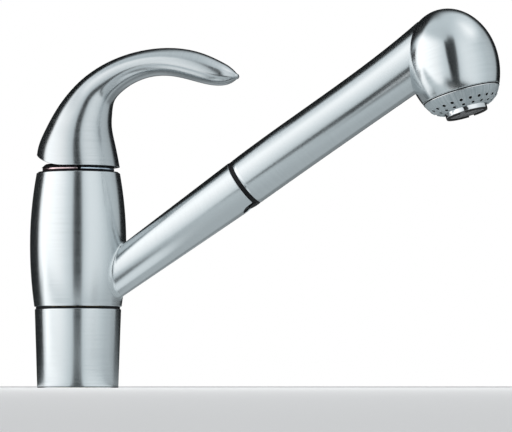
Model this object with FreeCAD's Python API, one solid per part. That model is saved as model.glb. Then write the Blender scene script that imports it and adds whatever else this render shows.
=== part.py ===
import FreeCAD
import Part
import math
import os

# Single-lever kitchen mixer with a pull-out spray.
# The origin is the middle of the base underside, on the deck. Z is up and the spout points along X.
# Lengths are millimetres, angles are degrees.

# How far a cutter passes the surface it cuts
cutRoom = 1.0

# Deck fixing
deckThickness = 38.0
shankRadius = 16.5
shankWall = 2.1
shankReach = 64.0
shankChamfer = 1.0
washerRadius = 27.0
washerGap = 0.3
rubberThickness = 3.0
clampThickness = 2.0
nutAcrossFlats = 42.0
nutSideCount = 6
nutHeight = 9.0

# Base
baseFootRadius = 23.65
baseTopRadius = 25.2
baseHeight = 46.0
baseFloor = 9.0
footChamfer = 0.5
gasketOuter = 21.0
gasketInner = 18.0
gasketThickness = 1.2

# Swivel between base and column
sleeveRadius = 20.0
sleeveWall = 3.2
sleeveFoot = 11.0
sleeveSocket = 3.5
sleeveFlare = 2.2
sleeveFlareHeight = 5.5
bushWall = 1.0
bushFoot = 22.0
sleeveFootGap = 0.5
runningFit = 0.06
slideRingThickness = 1.0
slideRingInset = 0.6
stopHeight = 16.0
stopScrewRadius = 2.5
stopScrewInset = 1.2
stopGrooveDepth = 2.2
stopTipGap = 0.3
stopSideGap = 0.3
stopEndGap = 0.1
swivelRange = 75.0

# Column shell
columnFootRadius = 25.5
columnBellyRadius = 28.1
columnBellyHeight = 37.0
columnTopRadius = 24.4
columnHeight = 78.5
columnEdge = 0.5
columnCavity = 22.0
ledgeWidth = 2.5
ledgeThickness = 4.0
valveBore = 21.2

# Valve body
valveFloor = 8.0
valveWall = 2.6
socketRadius = 4.0
socketDepth = 12.0
socketBoss = 6.0
socketDrop = 8.0
portPitch = 9.5
portRadius = 3.0
portAngles = (180.0, 108.0, -108.0)

# Ceramic cartridge
pivotBelowColumnTop = 18.5
cartridgeRadius = 17.4
cartridgeSideGap = 0.2
cartridgeBaseThickness = 3.0
portSealWall = 1.4
portSealThickness = 1.4
fixedDiscThickness = 3.5
movingDiscThickness = 3.0
movingDiscRadius = 10.0
mixingPocketRadius = 4.5
mixingPocketShift = 3.5
mixingPocketDepth = 1.8
sliderHeight = 7.0
sliderFloor = 1.7
sliderTopGap = 1.0
housingWall = 3.2
housingTop = 3.3
housingNeckRadius = 14.5
housingNeckHeight = 8.0
spindleRadius = 11.5
spindleFlange = 13.8
spindleFlangeThickness = 3.0
spindleAxialGap = 0.1
spindleProud = 1.0
guideSpacing = 6.5
guideWidth = 2.0
guideLength = 14.0
guideDepth = 1.6
guideGap = 0.15
pinRadius = 1.5
pinInset = 0.5
stemHalf = 3.5
stemSideGap = 0.15
stemArm = 8.5
stemBallRadius = 3.0
stemNeckRadius = 2.2
stemFoot = 4.0
ballGap = 0.15
liftRange = 25.0
slotRoom = 0.35
slotOverlap = 1.0
cartridgeNutHeight = 8.0
cartridgeNutGap = 0.3
nutSlotWidth = 4.0
nutSlotDepth = 2.5
nutSlotCount = 6

# Neck ring under the lever
neckRingRadius = 21.0
neckRingHeight = 3.1
neckRingBevel = 0.4
neckRingWeb = 2.0
neckRingBore = 15.0
neckRingSkirt = 7.5
neckRingSkirtWall = 2.4
markHeight = 1.7
markDepth = 0.6
markRise = 0.7
hotMarkFrom = -165.0
hotMarkTo = -72.0
coldMarkFrom = -66.0
coldMarkTo = 27.0

# Lever: stations from the rim to the tip, each with reach, rise over the rim, half depth and half width
leverGap = 3.3
leverStations = (
    (-0.2, 0.0, 24.4, 24.4),
    (-0.8, 11.2, 22.8, 22.9),
    (0.5, 23.2, 19.1, 19.6),
    (3.8, 32.7, 16.1, 16.8),
    (9.0, 42.0, 12.8, 13.8),
    (18.2, 50.2, 10.1, 12.1),
    (32.1, 57.1, 8.4, 11.2),
    (55.0, 60.4, 8.1, 10.8),
    (75.6, 56.2, 8.5, 10.3),
    (87.0, 52.6, 6.9, 8.8),
    (93.9, 51.2, 4.0, 5.6),
    (96.9, 50.8, 1.6, 2.6),
)
# How far each station leans over
leverTilts = (0.0, 0.0, 0.0, 6.0, 17.0, 41.0, 69.0, 90.0, 97.0, 98.0, 96.0, 95.0)
ovalPoints = 12
leverRimBore = 21.8
leverMidBore = 20.2
leverMidRise = 11.2
leverRoofBore = 14.5
leverRoofRise = 16.2
leverBossRadius = 7.0
leverBossRise = 7.4
reliefRadius = 39.0
stemRise = 21.5
stemTopGap = 0.8
leverScrewRise = 17.4
leverScrewRadius = 2.5
leverScrewLength = 6.5
screwCapRadius = 3.5
screwCapSeat = 16.5
screwCapThickness = 3.0

# Spout
spoutAxisRise = 2.4
spoutElevation = 33.95
spoutLength = 122.6
spoutRootRadius = 12.15
spoutRootStation = 18.0
spoutMouthRadius = 14.95
spoutWall = 2.0
bushLength = 30.6
bushRadius = 12.9
bushBore = 11.58
seamWidth = 1.0
seamInset = 0.6
notchWidth = 9.0
notchDepth = 6.0
notchKeyGap = 0.25
notchKeyInset = 0.9

# Hose inside the tap
hoseRadius = 5.5
hoseBore = 3.5
hoseBendRadius = 40.0
hoseOffset = 8.0
hoseEndInShank = 4.0

# Pull-out handset
handsetFlareBack = 40.0
handsetFlareLength = 36.0
handsetFlareStartRadius = 15.25
handsetFlareRadius = 16.5
handsetFlareLift = 0.55
handsetWall = 1.6
handsetReach = 138.85
headDrop = 10.4
dockFit = 0.08
dockLength = 25.6
dockPlugLength = 10.4
dockChamber = 8.5
dockLip = 3.0
dockLipGap = 0.3
dockChamfer = 1.0
ferruleWall = 1.3
ferruleGap = 1.0
ferruleLength = 8.0
hoseNutRadius = 8.2
hoseNutLength = 11.0
hoseNutOverFerrule = 2.0
strainerThickness = 1.5
nippleRadius = 6.4
nippleBore = 3.8
nippleFlange = 3.0
waterTubeRadius = 6.5
waterTubeBore = 4.5

# Spray head: stations run along the nozzle axis from the head middle
nozzleLean = 16.2
headRadius = 26.3
headBelly = 4.0
headPole = -28.2
headSeam = 22.3
headSeamRadius = 22.4
headCavity = 19.4
headCavityTop = -12.0
headCavityPole = -20.0
headCavityPoleRadius = 11.0
headRimBore = 20.4
headRimSeat = 15.0
seamGroove = 0.4
faceEndRadius = 12.6
faceEnd = 31.0
faceBulgeRadius = 18.5
faceBulge = 28.1
faceThickness = 2.0
faceSpigotWall = 1.8
jetRadius = 0.65
jetRingRadii = (19.6, 16.3)
jetCounts = (22, 18)
coreRadius = 13.0
coreTop = -14.0
corePlate = 3.0
coreNoseRadius = 9.3
coreNoseBore = 6.5
coreNose = 29.0
faceSealThickness = 1.2
collarRadius = 12.1
collarRim = 34.6
collarFlange = 1.3
collarFlangeRadius = 13.6
collarTravel = 2.5
collarStopGap = 0.6
collarFit = 0.08
collarNotchWidth = 3.0
collarNotchDepth = 1.0
aeratorRadius = 10.3
aeratorTop = 29.7
aeratorInset = 0.9
aeratorWall = 1.6
aeratorRib = 0.8
meshThickness = 0.5
meshHoleRadius = 0.8
meshHolePitch = 2.3
meshRingCount = 3
meshSideCount = 6

# Levels and radii that follow from the sizes above
columnZ = baseHeight + slideRingThickness
columnTop = columnZ + columnHeight
bushInner = sleeveRadius + runningFit
baseBore = bushInner + bushWall
sleeveBore = sleeveRadius - sleeveWall
sleeveTop = columnZ + sleeveSocket
pivotZ = columnTop - pivotBelowColumnTop
ballZ = pivotZ - stemArm
sliderZ = ballZ - stemBallRadius - ballGap - sliderFloor
sliderTop = sliderZ + sliderHeight
movingDiscZ = sliderZ - movingDiscThickness
fixedDiscZ = movingDiscZ - fixedDiscThickness
cartridgeZ = fixedDiscZ - cartridgeBaseThickness
valveZ = cartridgeZ - valveFloor
valveTop = columnTop - neckRingSkirt
spindleZ = sliderTop + sliderTopGap
spindleShoulder = spindleZ + spindleFlangeThickness
housingTopZ = spindleShoulder + spindleAxialGap
housingShoulder = housingTopZ + housingTop
housingNeckTop = housingShoulder + housingNeckHeight
housingBore = cartridgeRadius - housingWall
spindleTop = housingNeckTop + spindleProud
nutBore = valveBore - valveWall
rimZ = columnTop + leverGap
spoutZ = columnZ + spoutAxisRise
bushStation = spoutLength - bushLength
handsetStation = spoutLength + seamWidth
dockStation = handsetStation - dockLength
dockTop = handsetStation + dockPlugLength
dockRadius = bushBore - dockFit
handsetBore = spoutMouthRadius - handsetWall
headStation = handsetStation + handsetReach
collarTop = faceEnd - faceThickness - collarTravel - collarStopGap - collarFlange
up = FreeCAD.Vector(0, 0, 1)
alongX = FreeCAD.Vector(1, 0, 0)
alongY = FreeCAD.Vector(0, 1, 0)
middle = FreeCAD.Vector(0, 0, 0)


# A flat corner (radius, height) as a point in the XZ plane
def corner(radius, height):
    return FreeCAD.Vector(radius, 0, height)


# Solid turned about Z. A step is a corner (radius, height), or an arc (through, end) of two corners.
def turned(start, *steps):
    edges = []
    here = corner(*start)
    for step in steps + (start,):
        if isinstance(step[0], tuple):
            there = corner(*step[1])
            edges.append(Part.Arc(here, corner(*step[0]), there).toShape())
        else:
            there = corner(*step)
            edges.append(Part.LineSegment(here, there).toShape())
        here = there
    return Part.Face(Part.Wire(edges)).revolve(middle, up, 360)


# Tube or solid rod about Z between two heights
def tube(outer, inner, low, high):
    return turned((inner, low), (outer, low), (outer, high), (inner, high))


def rod(radius, low, high):
    return Part.makeCylinder(radius, high - low, FreeCAD.Vector(0, 0, low), up)


# Rod along any direction, from a point
def bar(radius, length, start, direction):
    return Part.makeCylinder(radius, length, start, direction)


# Box between two corners
def block(low, high):
    size = [b - a for a, b in zip(low, high)]
    return Part.makeBox(size[0], size[1], size[2], FreeCAD.Vector(*low))


# Point halfway along an arc that leaves the first corner upright or level, about the given centre
def arcMiddle(centre, first, last):
    reach = math.hypot(first[0] - centre[0], first[1] - centre[1])
    across = (first[0] + last[0]) / 2 - centre[0]
    along = (first[1] + last[1]) / 2 - centre[1]
    share = reach / math.hypot(across, along)
    return (centre[0] + across * share, centre[1] + along * share)


# Centre of the arc that stands upright at the belly and passes through another corner
def bellyCentre(belly, other):
    inset = belly[0] - other[0]
    rise = belly[1] - other[1]
    return (belly[0] - (inset ** 2 + rise ** 2) / (2 * inset), belly[1])


def bellyArcMiddle(belly, other):
    return arcMiddle(bellyCentre(belly, other), belly, other)


def turnedAbout(shape, angle):
    copy = shape.copy()
    copy.rotate(middle, up, angle)
    return copy


# Ring sector about Z between two angles
def sector(outer, inner, low, high, fromAngle, toAngle):
    slice_ = Part.makeCylinder(outer, high - low, FreeCAD.Vector(0, 0, low), up, toAngle - fromAngle)
    slice_ = slice_.cut(rod(inner, low - cutRoom, high + cutRoom))
    return turnedAbout(slice_, fromAngle)


# Pieces along the spout are drawn upright: height is the station, and X is the underside of the spout
spoutPlace = FreeCAD.Placement(FreeCAD.Vector(0, 0, spoutZ), FreeCAD.Rotation(alongY, 90 - spoutElevation))
headMiddle = spoutPlace.multVec(FreeCAD.Vector(headDrop, 0, headStation))
# Pieces of the head are drawn upright too: height is the station along the nozzle axis, pointing out
headPlace = FreeCAD.Placement(headMiddle, FreeCAD.Rotation(alongY, 180 - nozzleLean))


def placed(shape, place):
    copy = shape.copy()
    copy.Placement = place.multiply(copy.Placement)
    return copy


def onSpout(shape):
    return placed(shape, spoutPlace)


def onHead(shape):
    return placed(shape, headPlace)


# Base radius at a height of its taper
def baseRadiusAt(height):
    return baseFootRadius + (baseTopRadius - baseFootRadius) * height / baseHeight


def makeBaseSleeve():
    cavity = sleeveRadius + sleeveFootGap
    body = turned(
        (shankRadius, 0),
        (baseFootRadius - footChamfer, 0),
        (baseRadiusAt(footChamfer), footChamfer),
        (baseTopRadius, baseHeight),
        (baseBore, baseHeight),
        (baseBore, bushFoot),
        (cavity, bushFoot),
        (cavity, baseFloor),
        (shankRadius, baseFloor),
    )
    groove = tube(gasketOuter, gasketInner, 0, gasketThickness)
    hole = bar(stopScrewRadius, baseTopRadius, FreeCAD.Vector(0, 0, stopHeight), -alongX)
    return body.cut(groove).cut(hole)


def makeBaseGasket():
    return tube(gasketOuter, gasketInner, 0, gasketThickness)


def makeThreadedShank():
    bore = shankRadius - shankWall
    return turned(
        (bore, -shankReach),
        (shankRadius - shankChamfer, -shankReach),
        (shankRadius, -shankReach + shankChamfer),
        (shankRadius, baseFloor),
        (bore, baseFloor),
    )


def makeRubberWasher():
    return tube(washerRadius, shankRadius + washerGap, -deckThickness - rubberThickness, -deckThickness)


def makeClampWasher():
    top = -deckThickness - rubberThickness
    return tube(washerRadius, shankRadius + washerGap, top - clampThickness, top)


def makeFixingNut():
    top = -deckThickness - rubberThickness - clampThickness
    cornerRadius = nutAcrossFlats / 2 / math.cos(math.pi / nutSideCount)
    corners = []
    for step in range(nutSideCount + 1):
        angle = 2 * math.pi * step / nutSideCount
        corners.append(FreeCAD.Vector(cornerRadius * math.cos(angle), cornerRadius * math.sin(angle), top))
    hexagon = Part.Face(Part.makePolygon(corners)).extrude(FreeCAD.Vector(0, 0, -nutHeight))
    return hexagon.cut(rod(shankRadius, top - nutHeight, top))


def makeBearingBush():
    return tube(baseBore, bushInner, bushFoot, baseHeight)


def makeSlideRing():
    return tube(baseTopRadius - slideRingInset, sleeveRadius + sleeveFootGap, baseHeight, columnZ)


def makeSwivelScrew():
    tip = sleeveRadius - stopGrooveDepth + stopTipGap
    length = baseRadiusAt(stopHeight) - stopScrewInset - tip
    return bar(stopScrewRadius, length, FreeCAD.Vector(-tip, 0, stopHeight), -alongX)


def makeSwivelSleeve():
    body = turned(
        (sleeveBore, sleeveFoot),
        (sleeveRadius, sleeveFoot),
        (sleeveRadius, sleeveTop),
        (sleeveBore + sleeveFlare, sleeveTop),
        (sleeveBore, sleeveTop - sleeveFlareHeight),
    )
    grooveFloor = sleeveRadius - stopGrooveDepth
    halfHeight = stopScrewRadius + stopSideGap
    reach = (stopScrewRadius + stopEndGap) / (grooveFloor + stopTipGap)
    halfAngle = swivelRange + math.degrees(math.asin(reach))
    groove = sector(sleeveRadius + cutRoom, grooveFloor, stopHeight - halfHeight, stopHeight + halfHeight,
                    180 - halfAngle, 180 + halfAngle)
    return body.cut(groove)


# Outside of the column as a full solid, which the spout is trimmed against
def columnBody():
    foot = (columnFootRadius, columnZ + columnEdge)
    belly = (columnBellyRadius, columnZ + columnBellyHeight)
    top = (columnTopRadius, columnTop - columnEdge)
    return turned(
        (0, columnZ),
        (columnFootRadius - columnEdge, columnZ),
        foot,
        (bellyArcMiddle(belly, foot), belly),
        (bellyArcMiddle(belly, top), top),
        (columnTopRadius - columnEdge, columnTop),
        (0, columnTop),
    )


def makeColumnShell():
    ledge = columnCavity - ledgeWidth
    room = turned(
        (0, columnZ),
        (sleeveRadius, columnZ),
        (sleeveRadius, sleeveTop),
        (columnCavity, sleeveTop),
        (columnCavity, valveZ - ledgeThickness),
        (ledge, valveZ - ledgeThickness),
        (ledge, valveZ),
        (valveBore, valveZ),
        (valveBore, columnTop),
        (0, columnTop),
    )
    waterWay = onSpout(rod(spoutRootRadius - spoutWall, 0, 2 * columnBellyRadius))
    return columnBody().cut(room).cut(waterWay)


# Copies of a shape at the three ports
def atPorts(shape):
    copies = []
    for angle in portAngles:
        copy = shape.copy()
        copy.translate(FreeCAD.Vector(portPitch, 0, 0))
        copies.append(turnedAbout(copy, angle))
    return copies


def makeValveBody():
    bore = cartridgeRadius + cartridgeSideGap
    body = turned(
        (0, valveZ),
        (valveBore, valveZ),
        (valveBore, valveTop),
        (nutBore, valveTop),
        (nutBore, housingShoulder),
        (bore, housingShoulder),
        (bore, cartridgeZ),
        (0, cartridgeZ),
    )
    body = body.fuse(atPorts(rod(socketBoss, valveZ - socketDrop, valveZ)))
    body = body.cut(atPorts(rod(socketRadius, valveZ - socketDrop, valveZ - socketDrop + socketDepth)))
    body = body.cut(atPorts(rod(portRadius, valveZ, cartridgeZ)))
    return body.removeSplitter()


def makePortSeals():
    ring = tube(portRadius + portSealWall, portRadius, cartridgeZ, cartridgeZ + portSealThickness)
    return Part.makeCompound(atPorts(ring))


def makeCartridgeBase():
    plate = rod(cartridgeRadius, cartridgeZ, fixedDiscZ)
    plate = plate.cut(atPorts(rod(portRadius, cartridgeZ, fixedDiscZ)))
    return plate.cut(atPorts(rod(portRadius + portSealWall, cartridgeZ, cartridgeZ + portSealThickness)))


def makeFixedDisc():
    disc = rod(housingBore, fixedDiscZ, movingDiscZ)
    return disc.cut(atPorts(rod(portRadius, fixedDiscZ, movingDiscZ)))


def makeMovingDisc():
    disc = rod(movingDiscRadius, movingDiscZ, sliderZ)
    pocket = rod(mixingPocketRadius, movingDiscZ, movingDiscZ + mixingPocketDepth)
    pocket.translate(FreeCAD.Vector(-mixingPocketShift, 0, 0))
    return disc.cut(pocket)


# The slider carries the moving disc, takes the ball of the stem and runs on the spindle's two guides
def makeDiscSlider():
    body = rod(movingDiscRadius, sliderZ, sliderTop)
    half = stemBallRadius + ballGap
    pocket = block((-half, -half, sliderZ + sliderFloor), (half, half, sliderTop))
    grooveFloor = sliderTop - guideDepth + sliderTopGap - guideGap
    grooves = []
    for side in (-1, 1):
        reach = guideWidth / 2 + guideGap
        low = (-movingDiscRadius, side * guideSpacing - reach, grooveFloor)
        high = (movingDiscRadius, side * guideSpacing + reach, sliderTop)
        grooves.append(block(low, high))
    return body.cut([pocket] + grooves)


def makeCartridgeHousing():
    bore = spindleRadius + runningFit
    return turned(
        (housingBore, fixedDiscZ),
        (cartridgeRadius, fixedDiscZ),
        (cartridgeRadius, housingShoulder),
        (housingNeckRadius, housingShoulder),
        (housingNeckRadius, housingNeckTop),
        (bore, housingNeckTop),
        (bore, housingTopZ),
        (housingBore, housingTopZ),
    )


# The slot lets the stem swing back above the pin and forward below it, and stops it upright
def makeSpindleCarrier():
    body = turned(
        (0, spindleZ),
        (spindleFlange, spindleZ),
        (spindleFlange, spindleShoulder),
        (spindleRadius, spindleShoulder),
        (spindleRadius, spindleTop),
        (0, spindleTop),
    )
    guides = []
    for side in (-1, 1):
        low = (-guideLength / 2, side * guideSpacing - guideWidth / 2, spindleZ - guideDepth)
        high = (guideLength / 2, side * guideSpacing + guideWidth / 2, spindleZ)
        guides.append(block(low, high))
    swing = math.radians(liftRange)
    half = stemHalf / math.cos(swing)
    back = half + (spindleTop - pivotZ) * math.tan(swing) + slotRoom
    front = half + (pivotZ - spindleZ) * math.tan(swing) + slotRoom
    wide = stemHalf + stemSideGap
    above = block((-back, -wide, pivotZ - slotOverlap), (wide, wide, spindleTop))
    below = block((-wide, -wide, spindleZ), (front, wide, pivotZ + slotOverlap))
    pinHole = bar(pinRadius, 2 * spindleFlange, FreeCAD.Vector(0, -spindleFlange, pivotZ), alongY)
    return body.fuse(guides).cut([above, below, pinHole])


def makePivotPin():
    half = spindleRadius - pinInset
    return bar(pinRadius, 2 * half, FreeCAD.Vector(0, -half, pivotZ), alongY)


def makeLeverStem():
    top = rimZ + stemRise
    shaft = block((-stemHalf, -stemHalf, pivotZ - stemFoot), (stemHalf, stemHalf, top))
    neck = rod(stemNeckRadius, ballZ, pivotZ - stemFoot)
    ball = Part.makeSphere(stemBallRadius, FreeCAD.Vector(0, 0, ballZ))
    hole = bar(pinRadius + runningFit, 4 * stemHalf, FreeCAD.Vector(0, -2 * stemHalf, pivotZ), alongY)
    return shaft.fuse([neck, ball]).cut(hole)


def makeCartridgeNut():
    top = housingShoulder + cartridgeNutHeight
    bore = housingNeckRadius + cartridgeNutGap
    ring = tube(nutBore, bore, housingShoulder, top)
    slots = []
    for step in range(nutSlotCount):
        low = (bore - cutRoom, -nutSlotWidth / 2, top - nutSlotDepth)
        slot = block(low, (nutBore + cutRoom, nutSlotWidth / 2, top))
        slots.append(turnedAbout(slot, 360 / nutSlotCount * step))
    return ring.cut(slots)


def markSector(fromAngle, toAngle):
    low = columnTop + markRise
    return sector(neckRingRadius, neckRingRadius - markDepth, low, low + markHeight, fromAngle, toAngle)


def makeHotMark():
    return markSector(hotMarkFrom, hotMarkTo)


def makeColdMark():
    return markSector(coldMarkFrom, coldMarkTo)


def makeNeckRing():
    top = columnTop + neckRingHeight
    skirtBore = valveBore - neckRingSkirtWall
    body = turned(
        (skirtBore, valveTop),
        (valveBore, valveTop),
        (valveBore, columnTop),
        (neckRingRadius, columnTop),
        (neckRingRadius, top - neckRingBevel),
        (neckRingRadius - neckRingBevel, top),
        (neckRingBore, top),
        (neckRingBore, top - neckRingWeb),
        (skirtBore, top - neckRingWeb),
    )
    return body.cut([makeHotMark(), makeColdMark()])


# Closed oval in the XY plane, drawn as one smooth curve
def oval(halfDepth, halfWidth):
    points = []
    for step in range(ovalPoints):
        turn = 2 * math.pi * step / ovalPoints
        points.append(FreeCAD.Vector(halfDepth * math.cos(turn), halfWidth * math.sin(turn), 0))
    curve = Part.BSplineCurve()
    curve.interpolate(points, PeriodicFlag=True)
    return Part.Wire(curve.toShape())


# Outside of the lever, lofted through ovals that lean over from the dome to the tip
def leverBody():
    wires = []
    for (reach, rise, halfDepth, halfWidth), tilt in zip(leverStations, leverTilts):
        section = oval(halfDepth, halfWidth)
        spot = FreeCAD.Vector(reach, 0, rimZ + rise)
        section.Placement = FreeCAD.Placement(spot, FreeCAD.Rotation(alongY, tilt))
        wires.append(section)
    return Part.makeLoft(wires, True, False)


def makeLeverHandle():
    body = leverBody()
    hollow = turned(
        (0, rimZ),
        (leverRimBore, rimZ),
        (leverMidBore, rimZ + leverMidRise),
        (leverRoofBore, rimZ + leverRoofRise),
        (0, rimZ + leverRoofRise),
    )
    hollow = hollow.cut(rod(leverBossRadius, rimZ + leverBossRise, rimZ + leverRoofRise))
    reach = 2 * leverRimBore
    relief = block((-reach, -reach, rimZ - cutRoom), (0, reach, rimZ + reliefRadius))
    drum = bar(reliefRadius, 2 * reach, FreeCAD.Vector(0, -reach, rimZ + reliefRadius), alongY)
    relief = relief.cut(drum)
    socket = block((-stemHalf, -stemHalf, rimZ), (stemHalf, stemHalf, rimZ + stemRise + stemTopGap))
    screwHole = bar(leverScrewRadius, reach, FreeCAD.Vector(0, 0, rimZ + leverScrewRise), -alongX)
    capHole = bar(screwCapRadius, reach, FreeCAD.Vector(-screwCapSeat, 0, rimZ + leverScrewRise), -alongX)
    return body.cut(hollow.fuse(socket)).cut(relief).cut(screwHole.fuse(capHole))


def makeLeverScrew():
    start = FreeCAD.Vector(-stemHalf, 0, rimZ + leverScrewRise)
    return bar(leverScrewRadius, leverScrewLength, start, -alongX)


def makeLeverScrewCap():
    start = FreeCAD.Vector(-screwCapSeat, 0, rimZ + leverScrewRise)
    return bar(screwCapRadius, screwCapThickness, start, -alongX)


# Spout radius at a station of its taper
def spoutRadiusAt(station):
    slope = (spoutMouthRadius - spoutRootRadius) / (spoutLength - spoutRootStation)
    return spoutRootRadius + slope * (station - spoutRootStation)


# The U notch under the spout mouth, widened or narrowed by a margin, between two radii
def notchSolid(margin, inner, outer):
    half = notchWidth / 2 + margin
    bottom = spoutLength - notchDepth + notchWidth / 2
    flank = block((inner, -half, bottom), (outer, half, spoutLength))
    end = bar(half, outer - inner, FreeCAD.Vector(inner, 0, bottom), alongX)
    end = end.common(block((inner, -half, bottom - half), (outer, half, bottom)))
    return flank.fuse(end).removeSplitter()


def makeSpoutTube():
    outside = turned(
        (0, spoutRootStation),
        (spoutRootRadius, spoutRootStation),
        (spoutMouthRadius, spoutLength),
        (0, spoutLength),
    )
    inside = turned(
        (0, spoutRootStation),
        (spoutRootRadius - spoutWall, spoutRootStation),
        (spoutRadiusAt(bushStation) - spoutWall, bushStation),
        (bushRadius, bushStation),
        (bushRadius, spoutLength),
        (0, spoutLength),
    )
    notch = notchSolid(0, spoutRootRadius / 2, spoutMouthRadius + cutRoom)
    return onSpout(outside.cut([inside, notch])).cut(columnBody())


def makeSpoutBush():
    body = turned(
        (bushBore, bushStation),
        (bushRadius, bushStation),
        (bushRadius, spoutLength),
        (spoutMouthRadius - seamInset, spoutLength),
        (spoutMouthRadius - seamInset, handsetStation),
        (bushBore, handsetStation),
    )
    key = notchSolid(-notchKeyGap, bushBore + dockFit, spoutMouthRadius - notchKeyInset)
    return onSpout(body.fuse(key))


# Where the hose leaves the spout axis, and how it turns down
hoseTurn = math.radians(90 - spoutElevation)
hoseCorner = FreeCAD.Vector(hoseOffset, 0, spoutZ + hoseOffset * math.tan(math.radians(spoutElevation)))
hoseTangent = hoseBendRadius * math.tan(hoseTurn / 2)
hoseStation = hoseOffset / math.cos(math.radians(spoutElevation)) + hoseTangent


def makeHoseBend():
    start = spoutPlace.multVec(FreeCAD.Vector(0, 0, hoseStation))
    end = hoseCorner - up * hoseTangent
    centre = end + alongX * hoseBendRadius
    half = math.pi - hoseTurn / 2
    between = centre + FreeCAD.Vector(math.cos(half), 0, math.sin(half)) * hoseBendRadius
    foot = FreeCAD.Vector(hoseOffset, 0, hoseEndInShank - shankReach)
    path = Part.Wire([Part.Arc(start, between, end).toShape(), Part.LineSegment(end, foot).toShape()])
    direction = spoutPlace.Rotation.multVec(up)
    pipes = []
    for radius in (hoseRadius, hoseBore):
        ring = Part.Wire(Part.makeCircle(radius, start, direction))
        pipes.append(path.makePipeShell([ring], True, False))
    return pipes[0].cut(pipes[1])


# Order along the handset axis: hose, ferrule, nut, strainer, nipple, water tube
ferruleStation = dockStation + dockLip + ferruleGap
ferruleEnd = ferruleStation + ferruleLength
nutStation = ferruleEnd - hoseNutOverFerrule
nutEnd = nutStation + hoseNutLength
nippleStation = ferruleEnd + strainerThickness


def makeSprayHose():
    return onSpout(tube(hoseRadius, hoseBore, hoseStation, ferruleEnd))


def makeHoseFerrule():
    return onSpout(tube(hoseRadius + ferruleWall, hoseRadius, ferruleStation, ferruleEnd))


def makeStrainer():
    return onSpout(rod(nippleRadius, ferruleEnd, nippleStation))


def makeHoseNut():
    return onSpout(turned(
        (hoseRadius + ferruleWall, nutStation),
        (hoseNutRadius, nutStation),
        (hoseNutRadius, nutEnd),
        (nippleRadius, nutEnd),
        (nippleRadius, ferruleEnd),
        (hoseRadius + ferruleWall, ferruleEnd),
    ))


def makeInletNipple():
    return onSpout(turned(
        (nippleBore, nippleStation),
        (nippleRadius, nippleStation),
        (nippleRadius, nutEnd),
        (dockChamber, nutEnd),
        (dockChamber, dockTop),
        (handsetBore, dockTop),
        (handsetBore, dockTop + nippleFlange),
        (nippleBore, dockTop + nippleFlange),
    ))


# Black tail that docks in the spout bush and plugs into the handle
def makeDockTail():
    lipBore = hoseRadius + dockLipGap
    return onSpout(turned(
        (lipBore, dockStation),
        (dockRadius - dockChamfer, dockStation),
        (dockRadius, dockStation + dockChamfer),
        (dockRadius, handsetStation),
        (handsetBore, handsetStation),
        (handsetBore, dockTop),
        (dockChamber, dockTop),
        (dockChamber, dockStation + dockLip),
        (lipBore, dockStation + dockLip),
    ))


# Outside of the egg head without its face, as a full solid
def headBody():
    dome = Part.makeSphere(1)
    scale = FreeCAD.Matrix()
    scale.scale(headRadius, headRadius, headBelly - headPole)
    dome = dome.transformGeometry(scale)
    dome.translate(FreeCAD.Vector(0, 0, headBelly))
    reach = 2 * headRadius
    dome = dome.common(block((-reach, -reach, headPole - cutRoom), (reach, reach, headBelly)))
    belly = (headRadius, headBelly)
    seam = (headSeamRadius, headSeam)
    skirt = turned((0, headBelly), belly, (bellyArcMiddle(belly, seam), seam), (0, headSeam))
    return onHead(dome.fuse(skirt))


# Straight handle that swells towards the top of the head just before it meets the egg
def makeHandsetTube():
    flareStation = headStation - handsetFlareBack
    sections = (
        (handsetStation, spoutMouthRadius, 0),
        ((handsetStation + flareStation) / 2, (spoutMouthRadius + handsetFlareStartRadius) / 2, 0),
        (flareStation, handsetFlareStartRadius, 0),
        (flareStation + handsetFlareLength, handsetFlareRadius, handsetFlareLift),
    )
    wires = []
    for station, radius, lift in sections:
        ring = oval(radius, radius)
        ring.translate(FreeCAD.Vector(-lift, 0, station))
        wires.append(ring)
    outside = Part.makeLoft(wires, True, False)
    outside = outside.cut(rod(handsetBore, handsetStation, headStation))
    return onSpout(outside).cut(headBody())


def makeHeadShell():
    hollow = turned(
        (0, headCavityPole),
        (headCavityPoleRadius, headCavityPole),
        (headCavity, headCavityTop),
        (headCavity, headRimSeat),
        (headRimBore, headRimSeat),
        (headRimBore, headSeam),
        (0, headSeam),
    )
    passage = onSpout(rod(waterTubeRadius, headStation - 2 * headRadius, headStation))
    return headBody().cut([onHead(hollow), passage])


def coreBody():
    plateTop = headRimSeat + corePlate
    return onHead(turned(
        (0, coreTop),
        (coreRadius, coreTop),
        (coreRadius, headRimSeat),
        (headRimBore, headRimSeat),
        (headRimBore, plateTop),
        (coreNoseRadius, plateTop),
        (coreNoseRadius, coreNose),
        (0, coreNose),
    ))


def makeSprayCore():
    bore = onHead(rod(coreNoseBore, coreTop + corePlate, coreNose))
    inlet = onSpout(rod(waterTubeBore, headStation - headRadius, headStation))
    return coreBody().cut([bore, inlet])


def makeWaterTube():
    pipe = onSpout(tube(waterTubeRadius, waterTubeBore, dockTop + nippleFlange, headStation))
    return pipe.cut(coreBody()).Solids[0]


# Foot of the face spigot, which holds the seal and the core plate against the seat
faceSpigotFoot = headRimSeat + corePlate + faceSealThickness


def makeFaceSeal():
    foot = headRimSeat + corePlate
    return onHead(tube(headRimBore, headRimBore - faceSpigotWall, foot, faceSpigotFoot))


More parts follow.
